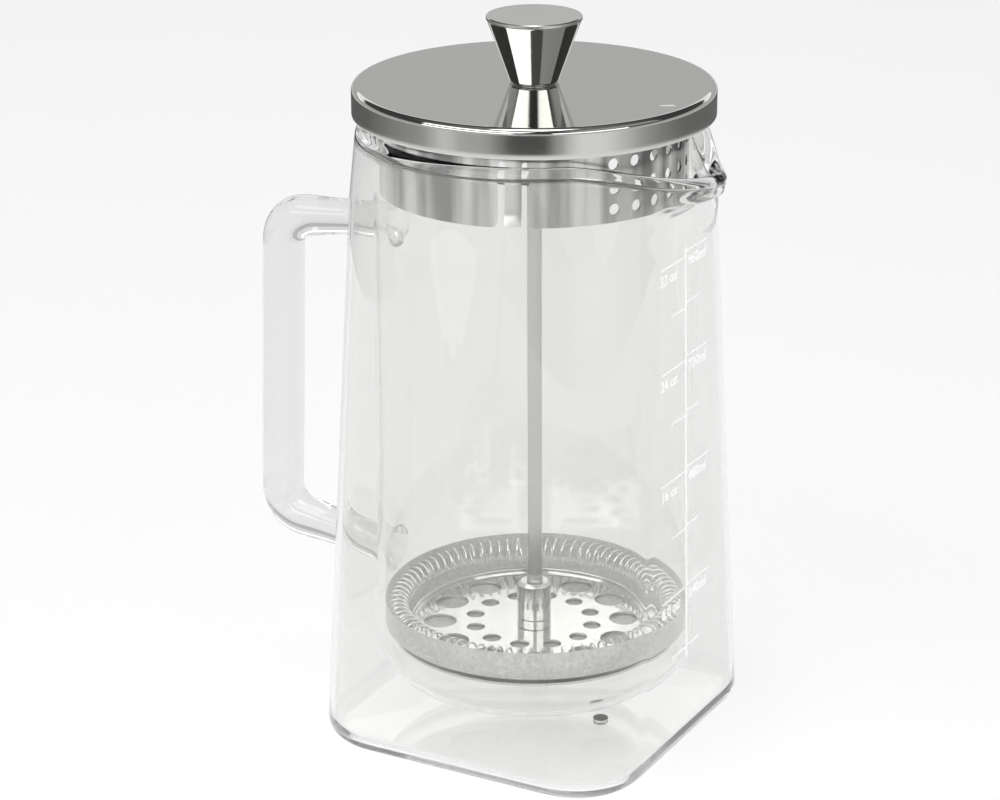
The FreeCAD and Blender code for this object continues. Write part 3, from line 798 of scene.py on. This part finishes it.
# ---- knob -------------------------------------------------------------------------------------------------
KNOB_FOOT, KNOB_TOP = knob_low.z, knob_high.z
KNOB_WAIST, KNOB_HEAD = 7.36, 13.9
RECESS = 6.3
knob_line = [
    (RECESS, KNOB_FOOT + 1.3), (RECESS, KNOB_FOOT), (KNOB_WAIST - 0.25, KNOB_FOOT),
    (KNOB_WAIST, KNOB_FOOT + 0.25), (KNOB_HEAD, KNOB_TOP - 0.25), (KNOB_HEAD - 0.15, KNOB_TOP),
    (4.1, KNOB_TOP), (4.1, KNOB_FOOT + 1.3),
]
knob = new_object("knob_cone", *lathe(knob_line, 256), mirror_steel, "plunger", sharp=15)
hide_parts("knob_body")

CAP_RADIUS = cap_high.y
cap_line = [
    (0.0, cap_low.z), (CAP_RADIUS - 0.15, cap_low.z), (CAP_RADIUS, cap_low.z + 0.15),
    (CAP_RADIUS, cap_high.z - 0.3), (CAP_RADIUS - 0.3, cap_high.z), (0.0, cap_high.z),
]
turn_lines = [(max(r, 0.01), z) for r, z in cap_line]
cap = new_object("knob_disc", *lathe(turn_lines, 256, loop=False), satin_steel, "plunger", sharp=25)
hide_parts("knob_cap")

# ---- hub and the thread above it --------------------------------------------------------------------------
HUB_RADIUS = hub_high.y
HUB_FOOT, HUB_TOP = hub_low.z, hub_high.z
GROOVE_Z = HUB_FOOT + 1.3
ROD_RADIUS = rod_high.y
hub_line = [
    (ROD_RADIUS, HUB_FOOT), (HUB_RADIUS, HUB_FOOT), (HUB_RADIUS, GROOVE_Z - 0.1),
    (HUB_RADIUS - 0.5, GROOVE_Z), (HUB_RADIUS - 0.5, GROOVE_Z + 0.5), (HUB_RADIUS, GROOVE_Z + 0.6),
    (HUB_RADIUS, HUB_TOP - 1.0), (HUB_RADIUS - 0.1, HUB_TOP - 0.85), (HUB_RADIUS - 1.0, HUB_TOP),
    (ROD_RADIUS, HUB_TOP),
]
hub = new_object("hub_sleeve", *lathe(hub_line, 128), hub_steel, "plunger", sharp=25)
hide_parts("filter_hub")

THREAD_PITCH = 0.8
sweep = np.linspace(0, 2 * math.pi * 3, 120)
thread_line = np.stack([
    (ROD_RADIUS + 0.02) * np.cos(sweep),
    (ROD_RADIUS + 0.02) * np.sin(sweep),
    HUB_TOP - 0.2 + THREAD_PITCH * sweep / (2 * math.pi),
], 1)
thread = new_object("rod_thread", *tube_along(thread_line, 0.26, 8), satin_steel, "plunger")

# ---- spring plate -----------------------------------------------------------------------------------------
PLATE_FOOT = plate_low.z
PLATE_SHEET = 0.8
PLATE_HOLES = 12             # of each size, in two rings
BIG_HOLE_CIRCLE, BIG_HOLE_RADIUS = 29.2, 5.15
SMALL_HOLE_CIRCLE, SMALL_HOLE_RADIUS = 18.7, 2.85
PLATE_RADIUS = plate_high.y
plate_top = PLATE_FOOT + PLATE_SHEET
BEAD_RADIUS = PLATE_RADIUS - 0.65
BEAD_HALF = 0.75


def level(z):
    return lambda flat: np.column_stack([flat, np.full(len(flat), z)])


plate_holes = [circle_loop(0, 0, ROD_RADIUS + 0.02, 48)]
hole_pitch = 360 // PLATE_HOLES
for i in range(PLATE_HOLES):
    a = math.radians(hole_pitch * i)
    x, y = BIG_HOLE_CIRCLE * math.cos(a), BIG_HOLE_CIRCLE * math.sin(a)
    plate_holes.append(circle_loop(x, y, BIG_HOLE_RADIUS, 48))
    a = math.radians(hole_pitch * i + 15)
    x, y = SMALL_HOLE_CIRCLE * math.cos(a), SMALL_HOLE_CIRCLE * math.sin(a)
    plate_holes.append(circle_loop(x, y, SMALL_HOLE_RADIUS, 36))
plate_edge = circle_loop(0, 0, PLATE_RADIUS, 180)
plate_flat = sheet_mesh(plate_edge, plate_holes, [], level(plate_top), level(PLATE_FOOT))
bead_line = [(BEAD_RADIUS + BEAD_HALF - 0.1, plate_top - 0.2)]
bead_line += arc(BEAD_RADIUS, plate_high.z - BEAD_HALF, BEAD_HALF, 0, 180, 14)
bead_line += [(BEAD_RADIUS - BEAD_HALF, plate_top - 0.2)]
plate_mesh = joined(plate_flat, lathe(bead_line, 256))
plate = new_object("spring_disc", *plate_mesh, plate_steel, "plunger", sharp=40)
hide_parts("spring_plate")

# ---- edge spring: one long coil bent into a ring ----------------------------------------------------------
COIL_TURNS = 84
COIL_STEPS = 36              # per turn
COIL_WIRE = 0.32             # radius of the wire
coil_radius = (coil_high.z - coil_low.z) / 2 - 0.2
coil_centre = coil_high.y - (coil_high.z - coil_low.z) / 2
coil_z = (coil_high.z + coil_low.z) / 2
steps = COIL_TURNS * COIL_STEPS
LEAN = 0.15                  # the sprung edge sits off centre; it must clear the beaker all the way up
LEAN_ANGLE = math.radians(28)
t = np.arange(steps) / steps
# The turns are spaced and sized a little unevenly.
wander = 0.0035 * np.sin(2 * math.pi * 7 * t) + 0.0025 * np.sin(2 * math.pi * 17 * t + 1.3)
around = 2 * math.pi * t + wander
turn = 2 * math.pi * COIL_TURNS * t
squeeze = 1 + 0.03 * np.sin(2 * math.pi * 11 * t + 0.4)
lean = LEAN * np.cos(around - LEAN_ANGLE)
reach = coil_centre + 0.5 * lean + (coil_radius * squeeze + 0.5 * lean) * np.cos(turn)
coil_line = np.stack([
    reach * np.cos(around),
    reach * np.sin(around),
    coil_z + coil_radius * np.sin(turn),
], 1)
coil_mesh = tube_along(coil_line, COIL_WIRE, 8, closed=True)
coil = new_object("edge_spring", *coil_mesh, wire_steel, "plunger", sharp=80)
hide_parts("rim_spring")

# ---- woven screen, a shallow cup --------------------------------------------------------------------------
SCREEN_RADIUS = screen_high.y
SCREEN_TOP = screen_high.z
SCREEN_FLOOR = screen_low.z + 0.3
SCREEN_CORNER = 2.6
SCREEN_LIFT = 1.2            # the screen rises outside the plates
LIFT_START, LIFT_RUN = 37.5, 6
FLOOR_RINGS = 24
SCREEN_STEPS = 360
SCREEN_HOLE = 2.4
RIM_DENT, FLOOR_DENT = 0.35, 0.5


def bump_near(turn, where, width):
    """1 at an angle, fading to 0 on both sides; where and width are in degrees."""
    return np.exp(-((turn - math.radians(where)) / math.radians(width)) ** 2)


profile = []
for r in np.linspace(SCREEN_HOLE, SCREEN_RADIUS - SCREEN_CORNER, FLOOR_RINGS):
    profile.append((r, SCREEN_FLOOR + SCREEN_LIFT * float(smooth_step((r - LIFT_START) / LIFT_RUN))))
side_foot = SCREEN_FLOOR + SCREEN_LIFT + SCREEN_CORNER
profile += arc(SCREEN_RADIUS - SCREEN_CORNER, side_foot, SCREEN_CORNER, -90, 0, 8)[1:]
profile += [(SCREEN_RADIUS, z) for z in np.linspace(side_foot, SCREEN_TOP, 8)[1:]]
turn = np.arange(SCREEN_STEPS + 1) * 2 * math.pi / SCREEN_STEPS
screen_points, screen_uv, run = [], [], 0.0
for k, (r, z) in enumerate(profile):
    if k:
        run += math.hypot(r - profile[k - 1][0], z - profile[k - 1][1])
    rise = max(0.0, (z - SCREEN_FLOOR) / (SCREEN_TOP - SCREEN_FLOOR))
    wave = rise * (0.04 * np.sin(5 * turn + 1) + 0.03 * np.sin(11 * turn))
    dent = -RIM_DENT * rise * bump_near(turn, 77, 5)
    dent -= FLOOR_DENT * (r > 40) * (1 - rise) * bump_near(turn, 354, 3)
    lean = LEAN * np.cos(turn - LEAN_ANGLE) if r > LIFT_START else 0.0
    reach = r + wave + dent + lean * smooth_step((r - LIFT_START) / LIFT_RUN)
    screen_points.append(np.stack([reach * np.cos(turn), reach * np.sin(turn), np.full(len(turn), z)], 1))
    flat_part = k < FLOOR_RINGS
    for a in turn:
        screen_uv.append((r * math.cos(a), r * math.sin(a)) if flat_part else (a * SCREEN_RADIUS, run))
columns = SCREEN_STEPS + 1
screen_faces = []
for k in range(len(profile) - 1):
    for i in range(SCREEN_STEPS):
        a = k * columns + i
        screen_faces.append((a, a + 1, a + columns + 1, a + columns))
screen = new_object(
    "woven_screen", np.concatenate(screen_points), screen_faces, mesh_steel, "plunger", sharp=80)
layer = screen.data.uv_layers.new(name="weave")
for loop in screen.data.loops:
    layer.data[loop.index].uv = screen_uv[loop.vertex_index]
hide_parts("mesh_screen")

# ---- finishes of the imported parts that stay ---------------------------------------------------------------
for node, material in (
    ("rod", satin_steel),
    ("cross_plate", plate_steel),
    ("bottom_nut", nut_steel),
    ("knob_insert", satin_steel),
    ("bush_retainer", satin_steel),
    ("guide_bush", dark_plastic),
    ("vent_plug", silicone),
):
    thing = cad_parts[node]
    if not thing.material_slots:
        thing.data.materials.append(material)
    for place in thing.material_slots:
        place.material = material

# ---- stage: floor, studio cards, lights -------------------------------------------------------------------
floor_paint = principled("floor_paint", (0.45, 0.45, 0.45), Roughness=1.0)
floor_inputs = floor_paint.node_tree.nodes["Principled BSDF"].inputs
floor_inputs["Specular IOR Level"].default_value = 0.0
floor_inputs["Emission Color"].default_value = (1, 1, 1, 1)
floor_inputs["Emission Strength"].default_value = 0.70
FLOOR_RADIUS = 8000
FLOOR_SIDES = 96
disc = circle_loop(0, 0, FLOOR_RADIUS, FLOOR_SIDES)
floor_mesh = bpy.data.meshes.new("studio_floor")
floor_mesh.from_pydata([(x * MM, y * MM, -0.0002) for x, y in disc], [], [list(range(FLOOR_SIDES))])
floor_mesh.materials.append(floor_paint)
floor = bpy.data.objects.new("studio_floor", floor_mesh)
bpy.context.scene.collection.objects.link(floor)

world = bpy.data.worlds.new("studio")
bpy.context.scene.world = world
world.use_nodes = True
nodes, links = world.node_tree.nodes, world.node_tree.links
place = nodes.new("ShaderNodeTexCoord")
split = nodes.new("ShaderNodeSeparateXYZ")
ramp = nodes.new("ShaderNodeValToRGB")
links.new(place.outputs["Generated"], split.inputs["Vector"])
links.new(split.outputs["Z"], ramp.inputs["Fac"])
links.new(ramp.outputs["Color"], nodes["Background"].inputs["Color"])
stops = ((0.0, 0.50), (0.27, 0.56), (0.34, 0.07), (0.72, 0.06), (1.0, 0.25))
while len(ramp.color_ramp.elements) < len(stops):
    ramp.color_ramp.elements.new(0.5)
for element, (where, grey) in zip(ramp.color_ramp.elements, stops):
    element.position = where
    element.color = (grey, grey, grey, 1.0)
nodes["Background"].inputs["Strength"].default_value = 1.0


def soft_box(name, azimuth, elevation, distance, width, height, watts):
    """Rectangular lamp, turned towards the object. Angles are in degrees and lengths in metres."""
    lamp = bpy.data.lights.new(name, "AREA")
    lamp.shape = "RECTANGLE"
    lamp.size = width
    lamp.size_y = height
    lamp.energy = watts
    holder = bpy.data.objects.new(name, lamp)
    a, e = math.radians(azimuth), math.radians(elevation)
    holder.location = (
        distance * math.sin(a) * math.cos(e),
        -distance * math.cos(a) * math.cos(e),
        0.1 + distance * math.sin(e),
    )
    holder.rotation_euler = (math.pi / 2 - e, 0, a)
    bpy.context.scene.collection.objects.link(holder)


soft_box("key_light", -17, 51, 1.5, 1.6, 0.45, 5.5)
soft_box("key_strip", -15, 25, 1.5, 1.6, 0.25, 4.0)
soft_box("fill_strip", 64, 25, 1.5, 1.25, 0.25, 2.9)
soft_box("side_light", 88, 47, 1.5, 1.5, 0.6, 1.0)
soft_box("top_light", 0, 88, 1.6, 0.6, 0.6, 5.0)
soft_box("back_light", 208, 25.5, 1.62, 2.6, 0.24, 2.0)


def reflector(name, points, faces, seen_by_glass):
    """Glowing part of the studio that is seen only through glass, or only in reflections."""
    mesh = bpy.data.meshes.new(name)
    mesh.from_pydata(points, [], faces)
    paint = principled(name, (0.0, 0.0, 0.0), Roughness=1.0)
    shader = paint.node_tree.nodes["Principled BSDF"]
    shader.inputs["Specular IOR Level"].default_value = 0.0
    shader.inputs["Emission Color"].default_value = (1, 1, 1, 1)
    mesh.materials.append(paint)
    thing = bpy.data.objects.new(name, mesh)
    bpy.context.scene.collection.objects.link(thing)
    thing.visible_camera = False
    thing.visible_diffuse = False
    thing.visible_shadow = False
    thing.visible_transmission = seen_by_glass
    thing.visible_glossy = not seen_by_glass
    return paint


CARD_REACH = 0.6
CARD_HEIGHT = 0.13
CARD_PITCH = 3               # degrees
card_turn = np.radians(np.arange(0, 360, CARD_PITCH))
card_count = len(card_turn)
card_points = [
    (CARD_REACH * math.cos(a), CARD_REACH * math.sin(a), z)
    for z in (0.0, CARD_HEIGHT) for a in card_turn
]
card_faces = []
for i in range(card_count):
    j = (i + 1) % card_count
    card_faces.append((i, j, j + card_count, i + card_count))
card_paint = reflector("studio_cards", card_points, card_faces, False)

# Glow of the cards by azimuth, in degrees; the studio is dark behind the camera.
CARD_GLOW = (
    (-90, 0.17), (-72, 0.23), (-60, 0.30), (-45, 0.34), (-38, 0.48), (-26, 0.82), (-17, 0.52), (0, 0.46),
    (8, 0.22), (15, 0.01), (35, 0.01), (43, 0.40), (54, 1.0), (72, 0.95), (85, 0.65), (96, 0.40),
    (112, 0.25), (130, 0.16), (200, 0.16), (230, 0.12), (262, 0.14),
)
nodes, links = card_paint.node_tree.nodes, card_paint.node_tree.links
place = nodes.new("ShaderNodeTexCoord")
round_axis = nodes.new("ShaderNodeTexGradient")
round_axis.gradient_type = "RADIAL"
glow_ramp = nodes.new("ShaderNodeValToRGB")
links.new(place.outputs["Object"], round_axis.inputs["Vector"])
links.new(round_axis.outputs["Fac"], glow_ramp.inputs["Fac"])
while len(glow_ramp.color_ramp.elements) < len(CARD_GLOW):
    glow_ramp.color_ramp.elements.new(0.5)
for element, (azimuth, glow) in zip(glow_ramp.color_ramp.elements, CARD_GLOW):
    element.position = (azimuth + 90) / 360
    element.color = (glow, glow, glow, 1.0)
links.new(glow_ramp.outputs["Color"], nodes["Principled BSDF"].inputs["Emission Color"])
nodes["Principled BSDF"].inputs["Emission Strength"].default_value = 1.0

# A pale tent over the object, seen through the glass only, keeps the edges of the glass light.
TENT_REACH = 3.0
TENT_LOW, TENT_HIGH = 10, 88     # elevation of its edges, in degrees
TENT_ROWS = 9
TENT_GLOW = 0.80
tent_points, tent_faces = [], []
tent_steps = 48
tent_levels = np.radians(np.linspace(TENT_LOW, TENT_HIGH, TENT_ROWS))
for up in tent_levels:
    for a in np.arange(tent_steps) * 2 * math.pi / tent_steps:
        level_reach = TENT_REACH * math.cos(up)
        tent_points.append((level_reach * math.cos(a), level_reach * math.sin(a), TENT_REACH * math.sin(up)))
for row in range(TENT_ROWS - 1):
    for i in range(tent_steps):
        j = (i + 1) % tent_steps
        low_row, high_row = row * tent_steps, (row + 1) * tent_steps
        tent_faces.append((low_row + i, low_row + j, high_row + j, high_row + i))
tent_faces.append(tuple(range((TENT_ROWS - 1) * tent_steps, TENT_ROWS * tent_steps)))
tent_paint = reflector("studio_tent", tent_points, tent_faces, True)
tent_paint.node_tree.nodes["Principled BSDF"].inputs["Emission Strength"].default_value = TENT_GLOW

# ---- camera -----------------------------------------------------------------------------------------------
CAMERA_AZIMUTH = math.radians(28.153)
CAMERA_REACH = 0.86517
CAMERA_HEIGHT = 0.42458
CAMERA_PITCH = math.radians(20.278)
camera_data = bpy.data.cameras.new("camera")
camera_data.sensor_width = 36.0
camera_data.lens = 108.47
camera_data.shift_x = -0.0342
camera_data.clip_start = 0.01
camera = bpy.data.objects.new("camera", camera_data)
camera.location = (
    CAMERA_REACH * math.sin(CAMERA_AZIMUTH),
    -CAMERA_REACH * math.cos(CAMERA_AZIMUTH),
    CAMERA_HEIGHT,
)
camera.rotation_euler = (math.pi / 2 - CAMERA_PITCH, 0, CAMERA_AZIMUTH)
bpy.context.scene.collection.objects.link(camera)
bpy.context.scene.camera = camera

BOUNCES = 64                 # light crosses many glass faces and steel mirrors
scene = bpy.context.scene
scene.view_settings.view_transform = "Standard"
scene.cycles.use_denoising = True
scene.cycles.max_bounces = BOUNCES
scene.cycles.transmission_bounces = BOUNCES
scene.cycles.glossy_bounces = BOUNCES
scene.cycles.transparent_max_bounces = 16
